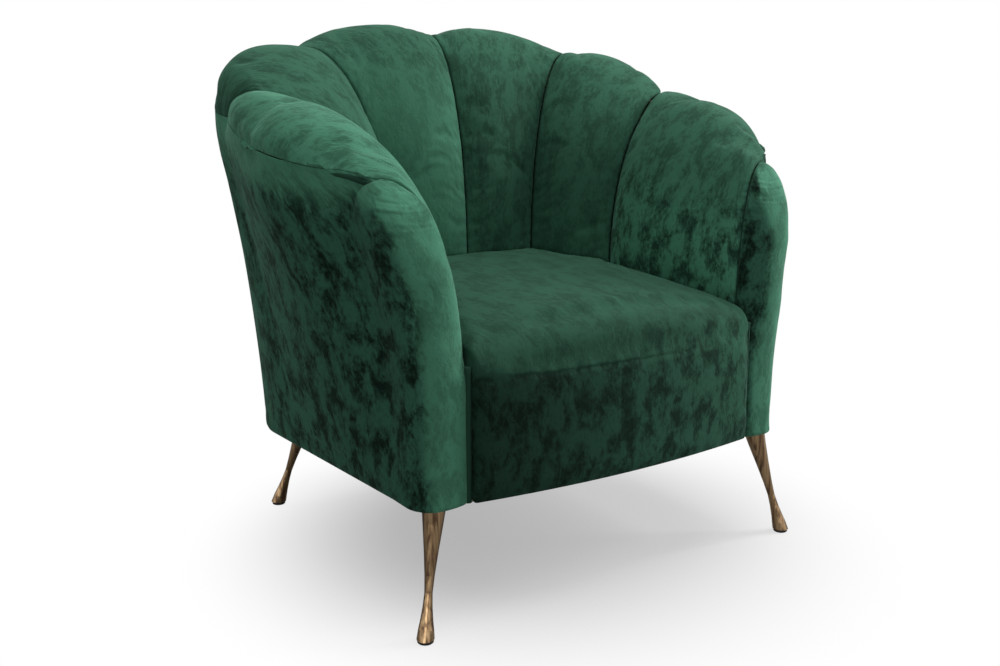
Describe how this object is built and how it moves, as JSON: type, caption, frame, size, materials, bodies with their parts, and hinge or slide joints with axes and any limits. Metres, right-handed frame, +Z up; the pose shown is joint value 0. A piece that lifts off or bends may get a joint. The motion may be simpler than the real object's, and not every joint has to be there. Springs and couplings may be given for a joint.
{
  "type": "upholstered armchair",
  "caption": "Low upholstered armchair with a scalloped shell of vertical padded channels, a fixed crowned seat and splayed hourglass metal legs.",
  "frame": {"origin": "middle of the chair's footprint, on the floor", "axes": "+Z up, -Y to the front of the chair, +X to the right as seen from in front; X = 0 is the symmetry plane"},
  "size_m": [0.9196, 0.6523, 0.8505],
  "materials": {
    "velvet": "crushed velvet, emerald green",
    "felt": "needled felt",
    "webbing": "woven elastic webbing",
    "dust_cloth": "spunbond cloth, black",
    "leg_metal": "polished, gold coloured",
    "glide_plastic": "moulded",
    "zinc_steel": "zinc plated",
    "plywood": "birch plywood, sawn edges",
    "timber": "planed beech"
  },
  "bodies": {
    "root": {"arm_channel_left": "velvet", "arm_channel_right": "velvet", "arm_front_pad_left": "velvet", "arm_front_pad_right": "velvet", "arm_post_left": "timber", "arm_post_right": "timber", "arm_top_rail_left": "plywood", "arm_top_rail_right": "plywood", "back_centre_post": "timber", "back_channel_centre_left": "velvet", "back_channel_centre_right": "velvet", "back_channel_corner_left": "velvet", "back_channel_corner_right": "velvet", "back_post_left": "timber", "back_post_right": "timber", "back_top_rail": "plywood", "base_frame": "plywood", "dust_cover": "dust_cloth", "leg_block_front_left": "timber", "leg_block_front_right": "timber", "leg_block_rear_left": "timber", "leg_block_rear_right": "timber", "leg_front_left": "leg_metal", "leg_front_right": "leg_metal", "leg_glides": "glide_plastic", "leg_rear_left": "leg_metal", "leg_rear_right": "leg_metal", "leg_tee_nuts": "zinc_steel", "outer_back_panel": "velvet", "outer_side_panel_left": "velvet", "outer_side_panel_right": "velvet", "seat_cushion": "velvet", "seat_felt": "felt", "seat_front_border": "velvet", "seat_front_rail": "timber", "seat_rear_rail": "timber", "seat_side_rail_left": "timber", "seat_side_rail_right": "timber", "seat_webbing_cross": "webbing", "seat_webbing_long": "webbing"}
  },
  "joints": []
}
